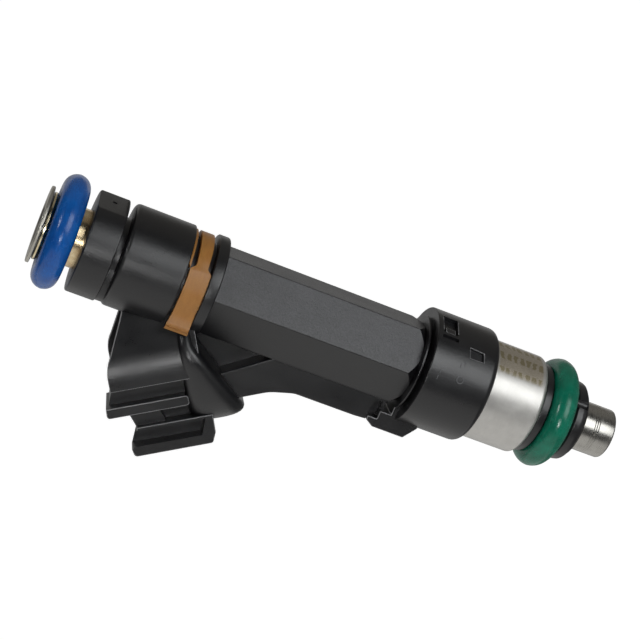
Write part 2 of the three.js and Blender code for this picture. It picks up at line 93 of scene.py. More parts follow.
def add_panel(name, rise, along, distance, height, width, radiance, colour=(1.0, 1.0, 1.0)):
    """A soft box that faces the injector. rise is its angle round the injector's axis, up from
    the camera's side, and along is its lean towards the inlet end, both in degrees. distance,
    height across the axis and width along it are in metres."""
    towards = (-CAMERA_FORWARD - AXIS * (-CAMERA_FORWARD).dot(AXIS)).normalized()
    up = AXIS.cross(towards).normalized()
    if up.dot(CAMERA_DOWN) > 0.0:
        up.negate()
    angle, lean = math.radians(rise), math.radians(along)
    level = towards * math.cos(angle) + up * math.sin(angle)
    back = (level * math.cos(lean) + AXIS * math.sin(lean)).normalized()
    side = (AXIS - back * AXIS.dot(back)).normalized()
    data = bpy.data.lights.new(name, "AREA")
    data.shape = "RECTANGLE"
    data.size = width
    data.size_y = height
    data.color = colour
    data.energy = radiance * math.pi * width * height
    light = bpy.data.objects.new(name, data)
    light.visible_camera = False
    bpy.context.collection.objects.link(light)
    light.matrix_world = placement(FOCUS + back * distance, side, back.cross(side), back)


def add_lights():
    add_panel("key_box", rise=23, along=-19, distance=0.42, height=0.25, width=0.28,
              radiance=3.9, colour=(0.97, 0.99, 1.0))
    add_panel("socket_strip", rise=-12, along=9, distance=0.40, height=0.06, width=0.08,
              radiance=22.0)
    for name, along in (("left_strip", 58), ("right_strip", -72)):
        add_panel(name, rise=24, along=along, distance=0.40, height=0.09, width=0.03,
                  radiance=26.0)
    add_panel("table_bounce", rise=-90, along=-6, distance=0.30, height=0.80, width=1.00,
              radiance=0.72, colour=(1.0, 0.99, 0.97))
    add_panel("rear_fill", rise=112, along=0, distance=0.40, height=0.80, width=1.00,
              radiance=0.20, colour=(1.0, 0.96, 0.88))
    add_panel("backdrop", rise=178, along=0, distance=0.40, height=0.60, width=1.00,
              radiance=0.45)


def add_world():
    """White where the camera looks past the object, dim grey for the light that falls on it."""
    world = bpy.data.worlds.new("studio")
    bpy.context.scene.world = world
    world.use_nodes = True
    tree = world.node_tree
    tree.nodes.clear()
    output = tree.nodes.new("ShaderNodeOutputWorld")
    mix = tree.nodes.new("ShaderNodeMixShader")
    path = tree.nodes.new("ShaderNodeLightPath")
    dim = tree.nodes.new("ShaderNodeBackground")
    white = tree.nodes.new("ShaderNodeBackground")
    dim.inputs["Color"].default_value = (1.0, 0.985, 0.96, 1.0)
    dim.inputs["Strength"].default_value = 0.03
    white.inputs["Color"].default_value = (1.0, 1.0, 1.0, 1.0)
    white.inputs["Strength"].default_value = 1.02
    tree.links.new(path.outputs["Is Camera Ray"], mix.inputs["Fac"])
    tree.links.new(dim.outputs[0], mix.inputs[1])
    tree.links.new(white.outputs[0], mix.inputs[2])
    tree.links.new(mix.outputs[0], output.inputs["Surface"])


def add_floor():
    """A wide pale floor: white to the eye, and dim in the steel's reflections."""
    half = 4.0
    corners = [(-half, -half), (half, -half), (half, half), (-half, half)]
    mesh = bpy.data.meshes.new("floor")
    mesh.from_pydata([(x, y, FLOOR_Z) for x, y in corners], [], [(0, 1, 2, 3)])
    floor = bpy.data.objects.new("floor", mesh)
    bpy.context.collection.objects.link(floor)
    surface = bpy.data.materials.new("pale_floor")
    surface.use_nodes = True
    tree = surface.node_tree
    shader = tree.nodes["Principled BSDF"]
    shader.inputs["Base Color"].default_value = (0.30, 0.30, 0.30, 1.0)
    shader.inputs["Roughness"].default_value = 0.9
    shader.inputs["Emission Color"].default_value = (1.0, 1.0, 1.0, 1.0)
    path = tree.nodes.new("ShaderNodeLightPath")
    tree.links.new(path.outputs["Is Camera Ray"], shader.inputs["Emission Strength"])
    mesh.materials.append(surface)


# ------------------------------------------------------------------ mesh helpers
def polar(radius, angle):
    """X and Y at an angle in radians."""
    return radius * math.cos(angle), radius * math.sin(angle)


def disc(radius, steps=20):
    """A circle's outline about the origin."""
    return [polar(radius, 2 * math.pi * k / steps) for k in range(steps)]


def rounded(points, steps=5):
    """A closed outline with arcs at its corners: each point is (a, b) or (a, b, radius).
    A corner that is nearly straight stays a point."""
    straight = math.radians(88)
    outline = []
    for i, point in enumerate(points):
        corner = Vector(point[:2])
        radius = point[2] if len(point) > 2 else 0.0
        before = Vector(points[i - 1][:2]) - corner
        after = Vector(points[(i + 1) % len(points)][:2]) - corner
        half = before.angle(after) / 2
        if radius <= 0.0 or half > straight:
            outline.append(corner)
            continue
        reach = min(radius / math.tan(half), 0.49 * before.length, 0.49 * after.length)
        radius = reach * math.tan(half)
        before.normalize()
        after.normalize()
        centre = corner + (before + after).normalized() * (radius / math.sin(half))
        first = corner + before * reach - centre
        last = corner + after * reach - centre
        start = math.atan2(first.y, first.x)
        sweep = math.remainder(math.atan2(last.y, last.x) - start, 2 * math.pi)
        for k in range(steps + 1):
            a = start + sweep * k / steps
            outline.append(centre + Vector((math.cos(a), math.sin(a))) * radius)
    return outline


def curve_points(start, control, end, steps=8):
    """Points of a quadratic curve, without its first point."""
    a, b, c = Vector(start), Vector(control), Vector(end)
    points = []
    for k in range(1, steps + 1):
        t = k / steps
        points.append(tuple(a * (1 - t) ** 2 + b * 2 * t * (1 - t) + c * t * t))
    return points


def new_object(name, bm):
    """An object from a mesh in millimetres, which is used up."""
    bmesh.ops.remove_doubles(bm, verts=bm.verts, dist=1e-4)
    bmesh.ops.recalc_face_normals(bm, faces=bm.faces)
    bmesh.ops.scale(bm, vec=(MM, MM, MM), verts=bm.verts)
    mesh = bpy.data.meshes.new(name)
    bm.to_mesh(mesh)
    bm.free()
    made = bpy.data.objects.new(name, mesh)
    bpy.context.collection.objects.link(made)
    return made


def turned(name, outline, segments=128):
    """A closed outline of (r, z) turned about the injector's axis."""
    bm = bmesh.new()
    rings = []
    for r, z in outline:
        if r < 1e-6:
            rings.append([bm.verts.new((0.0, 0.0, z))])
            continue
        ring = []
        for k in range(segments):
            a = 2 * math.pi * k / segments
            ring.append(bm.verts.new((*polar(r, a), z)))
        rings.append(ring)
    for i, lower in enumerate(rings):
        upper = rings[(i + 1) % len(rings)]
        if len(lower) == 1 and len(upper) == 1:
            continue
        for k in range(segments):
            j = (k + 1) % segments
            corners = [lower[k % len(lower)], lower[j % len(lower)]]
            corners += [upper[j % len(upper)], upper[k % len(upper)]]
            bm.faces.new(list(dict.fromkeys(corners)))
    return new_object(name, bm)


def upright(a, b, c):
    """Outline in X and Y, extruded along Z."""
    return (a, b, c)


def sideways(a, b, c):
    """Outline in X and Z, extruded along Y."""
    return (a, c, b)


TILT = math.radians(31.5)


def socket_point(n, y, s):
    """From the connector's frame, where S runs out along the socket and N away from the tube."""
    return (n * math.cos(TILT) + s * math.sin(TILT), y, s * math.cos(TILT) - n * math.sin(TILT))


def socket_side(a, b, c):
    """Outline in N and S, extruded along Y."""
    return socket_point(a, c, b)


def socket_across(a, b, c):
    """Outline in N and Y, extruded along S."""
    return socket_point(a, b, c)


def socket_flat(a, b, c):
    """Outline in Y and S, extruded along N."""
    return socket_point(c, a, b)


def around(azimuth):
    """Outline across and along a collar at this azimuth, extruded out along its radius."""
    a0 = math.radians(azimuth)

    def place(a, b, c):
        return (c * math.cos(a0) - a * math.sin(a0), c * math.sin(a0) + a * math.cos(a0), b)

    return place


def prism(name, outline, low, high, place, edge=0.0, steps=2):
    """A closed outline extruded from low to high, with its sharp edges rounded by edge."""
    bm = bmesh.new()
    bottom = [bm.verts.new(place(p[0], p[1], low)) for p in outline]
    top = [bm.verts.new(place(p[0], p[1], high)) for p in outline]
    bm.faces.new(bottom)
    bm.faces.new(list(reversed(top)))
    count = len(outline)
    for k in range(count):
        j = (k + 1) % count
        bm.faces.new([bottom[k], top[k], top[j], bottom[j]])
    bmesh.ops.recalc_face_normals(bm, faces=bm.faces)
    if edge > 0.0:
        soften(bm, edge, steps)
    return new_object(name, bm)


def soften(bm, edge, steps, limit=28):
    """Round the edges sharper than limit degrees; the rounding takes the light edge slot, a
    painted edge highlight with a little wear.
    """
    sharp = [e for e in bm.edges if len(e.link_faces) == 2
             and e.calc_face_angle() > math.radians(limit)]
    bmesh.ops.bevel(bm, geom=sharp, offset=edge, segments=steps, profile=0.5,
                    affect="EDGES", clamp_overlap=True, material=EDGE_WEAR_AND_HIGHLIGHT_SLOT)


def layered(name, rings, place):
    """Closed outlines with equal numbers of (a, b, c) points, joined one to the next."""
    bm = bmesh.new()
    rows = [[bm.verts.new(place(*point)) for point in ring] for ring in rings]
    bm.faces.new(rows[0])
    bm.faces.new(list(reversed(rows[-1])))
    for lower, upper in zip(rows, rows[1:]):
        for k in range(len(lower)):
            j = (k + 1) % len(lower)
            bm.faces.new([lower[k], lower[j], upper[j], upper[k]])
    return new_object(name, bm)


def middle_of(outline):
    return sum((Vector(p) for p in outline), Vector((0.0, 0.0))) / len(outline)


def grown(outline, by):
    """A closed outline with each corner moved away from its middle, by so much along each
    axis."""
    middle = middle_of(outline)
    return [(a + math.copysign(by, a - middle.x), b + math.copysign(by, b - middle.y))
            for a, b in outline]


def shrunk(outline, inset):
    """A closed outline with each point moved in by inset, square to the line between its
    neighbours."""
    middle = middle_of(outline)
    moved = []
    for i, point in enumerate(outline):
        here = Vector(point)
        along = (Vector(outline[(i + 1) % len(outline)]) - Vector(outline[i - 1])).normalized()
        inward = Vector((-along.y, along.x))
        if inward.dot(middle - here) < 0:
            inward.negate()
        moved.append(here + inward * inset)
    return moved


def block(name, x, y, z):
    """A box from x, y and z ranges."""
    outline = [(x[0], y[0]), (x[1], y[0]), (x[1], y[1]), (x[0], y[1])]
    return prism(name, outline, *z, upright)


def moulded(part, only_slot=None):
    """Give a piece of the moulding its plain plastic, its light edge plastic (painted edge
    highlight with a little wear) and its grained plastic, or one of them.
    """
    part.data.materials.clear()
    for material in (BLACK, EDGE_WEAR_AND_HIGHLIGHT, GRAINED):
        part.data.materials.append(material)
    if only_slot is not None:
        for face in part.data.polygons:
            face.material_index = only_slot
    return part


def combine(target, other, operation):
    """Join or cut target by other; other is used up."""
    if target.data.materials and not other.data.materials:
        for material in target.data.materials:
            other.data.materials.append(material)
    step = target.modifiers.new("combine", "BOOLEAN")
    step.operation = operation
    step.solver = "MANIFOLD"
    step.object = other
    graph = bpy.context.evaluated_depsgraph_get()
    result = bpy.data.meshes.new_from_object(target.evaluated_get(graph))
    target.modifiers.clear()
    old = target.data
    target.data = result
    bpy.data.meshes.remove(old)
    bpy.data.objects.remove(other, do_unlink=True)
    return target


def soften_object(target, edge, steps, limit):
    """Round the sharp edges of a finished object, in millimetres."""
    bm = bmesh.new()
    bm.from_mesh(target.data)
    bmesh.ops.scale(bm, vec=(1 / MM, 1 / MM, 1 / MM), verts=bm.verts)
    soften(bm, edge, steps, limit)
    bmesh.ops.scale(bm, vec=(MM, MM, MM), verts=bm.verts)
    bm.to_mesh(target.data)
    bm.free()
    return target


def finish_piece(piece, material, node, crease=32):
    """Shade a piece, give it its material and hide the CAD node it stands for. A piece of the
    moulding keeps the plastics that it has."""
    mesh = piece.data
    if not any(mesh.materials):
        mesh.materials.clear()
        mesh.materials.append(material)
        for face in mesh.polygons:
            face.material_index = 0
    bm = bmesh.new()
    bm.from_mesh(mesh)
    for face in bm.faces:
        face.smooth = True
    for edge in bm.edges:
        edge.smooth = len(edge.link_faces) == 2 and edge.calc_face_angle() < math.radians(crease)
    bm.to_mesh(mesh)
    bm.free()
    even = piece.modifiers.new("even_shading", "WEIGHTED_NORMAL")
    even.keep_sharp = True
    even.weight = 80
    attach(piece, BODY)
    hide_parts(node)
    return piece


# ------------------------------------------------------------------ material helpers
class Finish:
    """A principled material with a few procedural helpers; texture lengths are millimetres."""

    def __init__(self, name, **fixed):
        self.made = bpy.data.materials.new(name)
        self.made.use_nodes = True
        self.nodes = self.made.node_tree.nodes
        self.links = self.made.node_tree.links
        self.shader = self.nodes["Principled BSDF"]
        for socket, value in fixed.items():
            self.shader.inputs[socket.replace("_", " ")].default_value = value
        place = self.node("ShaderNodeTexCoord")
        scale = self.node("ShaderNodeVectorMath", operation="SCALE")
        scale.inputs["Scale"].default_value = 1.0 / MM
        self.links.new(place.outputs["Object"], scale.inputs[0])
        self.place = scale.outputs["Vector"]

    def node(self, kind, **settings):
        made = self.nodes.new(kind)
        for key, value in settings.items():
            setattr(made, key, value)
        return made

    def feed(self, target, value):
        """Link a socket, or set a plain value."""
        if isinstance(value, bpy.types.NodeSocket):
            self.links.new(value, target)
        else:
            target.default_value = value

    def stretched(self, stretch):
        """The place in the object, multiplied axis by axis."""
        scale = self.node("ShaderNodeVectorMath", operation="MULTIPLY")
        self.links.new(self.place, scale.inputs[0])
        scale.inputs[1].default_value = stretch
        return scale.outputs["Vector"]

    def noise(self, size, detail=3.0, stretch=(1.0, 1.0, 1.0), roughness=0.55):
        """Noise with features of this size; a stretch below 1 draws them out along its axis."""
        texture = self.node("ShaderNodeTexNoise")
        texture.inputs["Scale"].default_value = 1.0 / size
        texture.inputs["Detail"].default_value = detail
        texture.inputs["Roughness"].default_value = roughness
        self.links.new(self.stretched(stretch), texture.inputs["Vector"])
        return texture.outputs["Fac"]

    def ramp(self, value, start, end):
        """A colour that follows value; start and end are each a position and a colour."""
        ramp = self.node("ShaderNodeValToRGB")
        self.links.new(value, ramp.inputs["Fac"])
        for element, (position, colour) in zip(ramp.color_ramp.elements, (start, end)):
            element.position = position
            element.color = (*colour, 1.0)
        return ramp.outputs["Color"]

    def between(self, value, low, high, start=0.3, end=0.7):
        """A number that follows value from low to high."""
        fit = self.node("ShaderNodeMapRange")
        self.feed(fit.inputs["Value"], value)
        fit.inputs["From Min"].default_value = start
        fit.inputs["From Max"].default_value = end
        fit.inputs["To Min"].default_value = low
        fit.inputs["To Max"].default_value = high
        return fit.outputs["Result"]

    def maths(self, operation, a, b=0.0):
        step = self.node("ShaderNodeMath", operation=operation)
        self.feed(step.inputs[0], a)
        self.feed(step.inputs[1], b)
        return step.outputs["Value"]

    def weighted(self, first, second):
        """The sum of two values, each given with its share."""
        a, b = [self.maths("MULTIPLY", value, share) for value, share in (first, second)]
        return self.maths("ADD", a, b)

    def product(self, first, *others):
        for value in others:
            first = self.maths("MULTIPLY", first, value)
        return first

    def marks(self, value, pitch, share):
        """1 on a share of every pitch along value, else 0."""
        turn = self.maths("FRACT", self.maths("DIVIDE", value, pitch))
        return self.maths("LESS_THAN", turn, share)

    def mixed(self, factor, a, b):
        """The colour a where factor is 0 and b where it is 1."""
        mix = self.node("ShaderNodeMix", data_type="RGBA")
        self.feed(mix.inputs[0], factor)
        for socket, colour in ((mix.inputs[6], a), (mix.inputs[7], b)):
            self.feed(socket, (*colour, 1.0) if isinstance(colour, tuple) else colour)
        return mix.outputs[2]

    def axes(self):
        split = self.node("ShaderNodeSeparateXYZ")
        self.links.new(self.place, split.inputs[0])
        return split.outputs

    def surface(self, colour=None, roughness=None, height=None, depth=0.01):
        """Link colour, roughness and a bump height; depth is the bump's size in millimetres."""
        if colour is not None:
            self.feed(self.shader.inputs["Base Color"], colour)
        if roughness is not None:
            self.feed(self.shader.inputs["Roughness"], roughness)
        if height is not None:
            bump = self.node("ShaderNodeBump")
            bump.inputs["Strength"].default_value = 1.0
            bump.inputs["Distance"].default_value = depth * MM
            self.links.new(height, bump.inputs["Height"])
            self.links.new(bump.outputs["Normal"], self.shader.inputs["Normal"])
        return self.made


def moulded_plastic(name, dark, light, rough, grain, depth):
    """Glass-filled nylon: a fine eroded grain with faint cloudy flow in colour and gloss. The
    grain's size and depth are in millimetres."""
    look = Finish(name, Specular_IOR_Level=0.62)
    flow = look.noise(2.6, 2.0, (1.0, 1.0, 0.45))
    fine = look.noise(grain, 4.0, roughness=0.7)
    fleck = look.noise(grain * 0.55, 1.0)
    tone = look.ramp(look.weighted((flow, 0.45), (fine, 0.55)), (0.3, dark), (0.72, light))
    gloss = look.between(look.weighted((flow, 0.5), (fleck, 0.5)), rough - 0.07, rough + 0.08)
    height = look.maths("ADD", fine, look.maths("MULTIPLY", fleck, 0.6))
    return look.surface(tone, gloss, height, depth)


def rubber(name, deep, bright):
    """Moulded seal: smooth, faintly oily, with dusty specks."""
    look = Finish(name, Specular_IOR_Level=0.4)
    cloud = look.noise(1.9, 3.0)
    speck = look.noise(0.11, 2.0)
    tone = look.ramp(cloud, (0.3, deep), (0.72, bright))
    gloss = look.between(look.noise(0.8, 4.0), 0.17, 0.31)
    height = look.maths("ADD", speck, look.maths("MULTIPLY", cloud, 2.0))
    return look.surface(tone, gloss, height, 0.0022)


def turned_steel(name, dark, light, rough, lines=0.035, depth=0.0016):
    """Turned stainless: fine rings round the axis, a few blotches and hairline scratches."""
    look = Finish(name, Metallic=1.0)
    rings = look.noise(lines, 3.0, (0.05, 0.05, 1.0))
    blotch = look.noise(1.4, 3.0)
    scratch = look.noise(0.09, 1.0, (0.16, 0.7, 0.5))
    tone = look.ramp(look.weighted((rings, 0.35), (blotch, 0.65)), (0.32, dark), (0.7, light))
    gloss = look.between(look.weighted((blotch, 0.5), (rings, 0.5)), rough - 0.06, rough + 0.08)
    height = look.maths("ADD", rings, look.maths("MULTIPLY", scratch, 0.4))
    return look.surface(tone, gloss, height, depth)


def tinted_tube():
    """The drawn tube: steel with a straw heat tint that deepens to brown at the plastic."""
    look = Finish("straw_tinted_steel", Metallic=1.0)
    rings = look.noise(0.04, 3.0, (0.06, 0.06, 1.0))
    blotch = look.noise(0.9, 3.0)
    plastic_edge, far_end = 64.0, 67.2
    along = look.maths("ADD", look.axes()[2], look.maths("MULTIPLY", blotch, 2.0))
    warm = look.between(along, 1.0, 0.0, plastic_edge, far_end)
    straw = look.ramp(blotch, (0.3, (0.66, 0.55, 0.34)), (0.7, (0.83, 0.74, 0.52)))
    brown = look.ramp(blotch, (0.3, (0.46, 0.31, 0.16)), (0.7, (0.70, 0.52, 0.29)))
    tone = look.mixed(warm, straw, brown)
    return look.surface(tone, look.between(rings, 0.18, 0.3), rings, 0.0015)


def etched_housing():
    """The magnet housing: satin steel with a warm laser-marked field on one side."""
    look = Finish("etched_stainless", Metallic=0.8)
    x, y, z = look.axes()
    rings = look.noise(0.03, 3.0, (0.05, 0.05, 1.0))
    blotch = look.noise(1.5, 3.0)
    fine = look.noise(0.12, 3.0)
    plain = look.ramp(look.weighted((rings, 0.4), (blotch, 0.6)),
                      (0.3, (0.46, 0.45, 0.43)), (0.7, (0.59, 0.58, 0.555)))
    angle = look.maths("ARCTAN2", y, x)
    ragged = look.maths("MULTIPLY", look.maths("SUBTRACT", fine, 0.5), 0.05)
    # Where the field's edges fade in: an angle in radians round the axis, and two heights.
    side_fade, low_fade, high_fade = (2.23, 2.31), (3.7, 3.95), (9.9, 10.2)
    inside = look.product(look.between(look.maths("ADD", angle, ragged), 0.0, 1.0, *side_fade),
                          look.between(z, 0.0, 1.0, *low_fade),
                          look.between(z, 1.0, 0.0, *high_fade))
    warm = look.ramp(fine, (0.35, (0.33, 0.275, 0.20)), (0.65, (0.52, 0.46, 0.36)))
    wander = look.maths("MULTIPLY", look.noise(1.1, 2.0), 1.1)
    rows = look.marks(look.maths("ADD", z, wander), pitch=0.9, share=0.6)
    columns = look.marks(look.maths("ADD", angle, 0.02), pitch=0.37, share=0.5)
    stain = look.product(inside, rows, columns, look.between(fine, 0.35, 1.0, 0.35, 0.6))
    tone = look.mixed(look.maths("MULTIPLY", inside, 0.8), plain, warm)
    tone = look.mixed(look.maths("MULTIPLY", stain, 0.8), tone, (0.20, 0.165, 0.06))
    gloss = look.maths("ADD", look.between(blotch, 0.36, 0.46),
                       look.maths("MULTIPLY", inside, 0.06))
    height = look.maths("ADD", rings, look.maths("MULTIPLY", stain, -1.5))
    return look.surface(tone, gloss, height, 0.0016)


def band_plastic():
    """The colour band: unfilled tan plastic, satin, with drawn-out flow lines round it."""
    look = Finish("tan_plastic", Subsurface_Weight=0.05, Subsurface_Scale=0.0008)
    flow = look.noise(1.3, 3.0, (1.0, 1.0, 2.4))
    fine = look.noise(0.14, 3.0)
    tone = look.ramp(look.weighted((flow, 0.7), (fine, 0.3)),
                     (0.3, (0.300, 0.128, 0.026)), (0.72, (0.380, 0.172, 0.038)))
    return look.surface(tone, look.between(flow, 0.36, 0.5), fine, 0.006)


def tinned_brass():
    """Strip drawn along the blades, with the brass showing through its tin in blotches."""
    look = Finish("tinned_brass", Metallic=1.0)
    drawn = look.noise(0.05, 3.0, (1.0, 1.0, 0.06))
    blotch = look.noise(0.8, 3.0)
    tone = look.ramp(blotch, (0.35, (0.62, 0.54, 0.36)), (0.7, (0.80, 0.76, 0.64)))
    return look.surface(tone, look.between(drawn, 0.2, 0.36), drawn, 0.002)


def wound_copper():
    """The coil: one solid whose bump and colour show the turns of enamelled wire."""
    look = Finish("enamelled_copper", Metallic=1.0, Coat_Weight=0.6, Coat_Roughness=0.1)
    wire_pitch = 0.16
    wire = look.maths("SINE", look.maths("MULTIPLY", look.axes()[2], 2 * math.pi / wire_pitch))
    tone = look.ramp(look.between(wire, 0.0, 1.0, -1.0, 1.0),
                     (0.0, (0.30, 0.10, 0.03)), (1.0, (0.66, 0.31, 0.14)))
    return look.surface(tone, look.between(look.noise(0.5), 0.22, 0.35), wire, 0.03)


def woven_nylon():
    """The filter's fine mesh, as a plain weave of threads round and along the sleeve."""
    look = Finish("woven_nylon", Roughness=0.55)
    threads_round, pitch_along = 100.0, 0.14
    x, y, z = look.axes()
    round_it = look.maths("MULTIPLY", look.maths("ARCTAN2", y, x), threads_round)
    up = look.maths("MULTIPLY", z, 2 * math.pi / pitch_along)
    weave = look.maths("MULTIPLY", look.maths("SINE", round_it), look.maths("SINE", up))
    tone = look.ramp(look.between(weave, 0.0, 1.0, -1.0, 1.0),
                     (0.0, (0.30, 0.29, 0.25)), (1.0, (0.78, 0.76, 0.68)))
    return look.surface(tone, look.between(look.noise(0.4), 0.45, 0.65), weave, 0.04)


# ------------------------------------------------------------------ plastic body
# Radii and heights of the moulding's turned stretches, from the valve end to the inlet.
LOWER_COLLAR_R, LOWER_COLLAR_LOW, LOWER_COLLAR_HIGH = 7.6, 10.3, 19.12
LIP_R, LIP_LOW, LIP_HIGH = 6.3, 19.5, 19.8
NECK_R = 5.0
HEX_CORNER_R, HEX_LOW, HEX_HIGH = 5.92, 19.85, 46.8
UPPER_COLLAR_R, UPPER_COLLAR_LOW = 6.55, 46.75
BAND_GROOVE_R, BAND_GROOVE_LOW, BAND_GROOVE_HIGH = 5.3, 48.15, 51.25
CLIP_GROOVE_R, CLIP_GROOVE_LOW, CLIP_GROOVE_HIGH = 4.5, 58.95, 59.8
CLIP_COLLAR_R, MOULDING_TOP = 6.5, 63.55
# The socket's rim and floor along its own length, and the thickness of its wall.
RIM_S, SOCKET_FLOOR_S, WALL = 54.15, 47.6, 0.95


def collar_stack():
    """The turned collars, grooves and neck, still without their bore."""
    return turned("collars", rounded([
        (0.0, LOWER_COLLAR_LOW), (LOWER_COLLAR_R, LOWER_COLLAR_LOW, 0.95),
        (LOWER_COLLAR_R, LOWER_COLLAR_HIGH, 0.16), (NECK_R, LOWER_COLLAR_HIGH, 0.1),
        (NECK_R, LIP_LOW, 0.1), (LIP_R, LIP_LOW, 0.08),
        (LIP_R, LIP_HIGH, 0.08), (NECK_R, LIP_HIGH, 0.1),
        (NECK_R, UPPER_COLLAR_LOW, 0.1), (UPPER_COLLAR_R, UPPER_COLLAR_LOW, 0.22),
        (UPPER_COLLAR_R, BAND_GROOVE_LOW, 0.12), (BAND_GROOVE_R, BAND_GROOVE_LOW, 0.1),
        (BAND_GROOVE_R, BAND_GROOVE_HIGH, 0.1), (UPPER_COLLAR_R, BAND_GROOVE_HIGH, 0.12),
        (UPPER_COLLAR_R, CLIP_GROOVE_LOW, 0.55), (CLIP_GROOVE_R, CLIP_GROOVE_LOW, 0.1),
        (CLIP_GROOVE_R, CLIP_GROOVE_HIGH, 0.1), (CLIP_COLLAR_R, CLIP_GROOVE_HIGH, 0.15),
        (CLIP_COLLAR_R, MOULDING_TOP, 0.25), (0.0, MOULDING_TOP),
    ]))


def groove_floor():
    """The clip groove runs out towards the connector: its floor rises there, between the
    azimuths none and full."""
    deep, shallow = 4.4, 6.3
    full, none = 25, 85
    below, above, steps = 1.25, 0.6, 100
    outline = []
    for k in range(steps):
        azimuth = -179 + 360 / steps * k
        t = min(1.0, max(0.0, (none - abs(azimuth)) / (none - full)))
        r = deep + (shallow - deep) * t * t * (3 - 2 * t)
        outline.append(polar(r, math.radians(azimuth)))
    return prism("groove_floor", outline, CLIP_GROOVE_LOW - below, CLIP_GROOVE_HIGH + above,
                 upright)


def hexagon():
    """The neck's six flats, coned at the lower end. All six are grained alike; those away from the
    connector take the lighter grained plastic and those towards it stay plain black, as painted
    light on the upper flats and painted shade on the lower ones.
    """
    corners = [(*polar(HEX_CORNER_R, math.radians(60 * i + 30)), 0.22) for i in range(6)]
    sides = prism("hexagon", rounded(corners, 4), HEX_LOW - 1, HEX_HIGH + 0.2, upright)
    moulded(sides)
    # Lighter grained plastic on the upper flats and black on the lower: painted light and shade on
    # one plastic.
    for face in sides.data.polygons:
        if abs(math.atan2(face.center.y, face.center.x)) > math.radians(91):
            face.material_index = GRAINED_SLOT
    envelope = turned("envelope", [
        (0.0, HEX_LOW), (5.2, HEX_LOW), (5.95, HEX_LOW + 1.15), (5.95, HEX_HIGH + 1),
        (0.0, HEX_HIGH + 1),
    ])
    return combine(sides, envelope, "INTERSECT")


def collar_recesses(body):
    """The window, slit and pocket in the lower collar, each in a shallow frame of the light edge
    plastic, a painted highlight round its rim, and the step inside the window."""
    wall, outside = LOWER_COLLAR_R, LOWER_COLLAR_R + 1
    frame_width, frame_depth = 0.09, 0.1
    window, pocket = around(157), around(132)
    recesses = [
        ([(-1.5, 16.45), (1.5, 16.45), (1.5, 18.4), (-1.5, 18.4)], 0.75, window),
        ([(-2.45, 16.3), (-1.95, 16.3), (-1.95, 18.5), (-2.45, 18.5)], 0.7, window),
        ([(-0.55, 12.5), (0.6, 12.7), (0.75, 14.6), (-0.6, 14.4)], 0.45, pocket),
    ]
    for outline, depth, place in recesses:
        # Each frame is the light edge plastic: a painted highlight round the recess's rim.
        border = prism("border", grown(outline, frame_width), wall - frame_depth, outside, place)
        combine(body, moulded(border, EDGE_WEAR_AND_HIGHLIGHT_SLOT), "DIFFERENCE")
        combine(body, prism("recess", outline, wall - depth, outside, place), "DIFFERENCE")
    step = prism("step", [(-1.6, 16.8), (-0.6, 16.8), (-0.6, 18.1), (-1.6, 18.1)], wall - 0.9,
                 wall - 0.15, window, 0.08)
    combine(body, step, "UNION")


def clip_collar_flat(body):
    """A flat with a dimple at the back of the clip collar."""
    back, outside = around(169), 8
    flat = prism("flat", [(-4, 59.95), (4, 59.95), (4, 64), (-4, 64)], 5.98, outside, back)
    combine(body, flat, "DIFFERENCE")
    oval = [(x * 0.9 + 0.2, z + 61.6) for x, z in disc(0.3)]
    combine(body, prism("dimple", oval, 5.8, outside, back), "DIFFERENCE")


def raised_marks(body):
    """A ring and four dashes of grained plastic that stand just proud of the lower collar."""
    wall = LOWER_COLLAR_R
    root, top = wall - 0.3, wall + 0.04
    ring = prism("dial", disc(0.5), root, top, around(104))
    combine(ring, prism("hub", disc(0.36), root - 0.1, wall + 0.3, around(104)), "DIFFERENCE")
    ring.data.transform(Matrix.Translation((0.0, 0.0, 14.9 * MM)))
    raised = [ring]
    for azimuth, z in ((105.5, 17.6), (99.5, 17.7), (120, 14.8), (117, 15.3)):
        dash = [(-0.28, z), (0.28, z), (0.28, z + 0.13), (-0.28, z + 0.13)]
        raised.append(prism("dash", dash, root, top, around(azimuth)))
    for mark in raised:
        combine(body, moulded(mark, GRAINED_SLOT), "UNION")


def shell_outline(inset=0.0):
    """The socket shell across its length, in N and Y: a narrow nose, side walls that lean
    out from it, and a full curve down to the edge above the rails."""
    half = [(-25.0 + inset, 1.3 - 0.5 * inset)]
    half += curve_points(half[0], (-25.0 + inset, 2.6 - inset), (-22.9, 3.6 - inset), 6)
    half.append((-19.6, 5.25 - inset))
    half += curve_points(half[-1], (-17.7, 6.22 - inset), (-15.3 - inset, 5.98 - inset), 10)
    half.append((-14.9 - inset, 3.3))
    return half + [(n, -y) for n, y in reversed(half)]


def mouth_shape():
    """What is cut off above the sloping mouth, in N and S."""
    points = [(-16.9, RIM_S)]
    points += curve_points((-16.9, RIM_S), (-18.2, RIM_S), (-19.4, RIM_S - 0.75))
    return points + [(-28.0, RIM_S - 4.94), (-28.0, RIM_S + 8), (-8.0, RIM_S + 8), (-8.0, RIM_S)]


def socket_shell():
    """The shell, cut off along its sloping mouth and hollowed down to the socket's floor."""
    shell = moulded(prism("shell", shell_outline(), 42.8, 60.0, socket_across))
    combine(shell, prism("mouth", mouth_shape(), -15.0, 15.0, socket_side), "DIFFERENCE")
    hollow = prism("hollow", shell_outline(WALL), SOCKET_FLOOR_S, 62.0, socket_across)
    combine(shell, hollow, "DIFFERENCE")
    return soften_object(shell, 0.14, 3, 40)


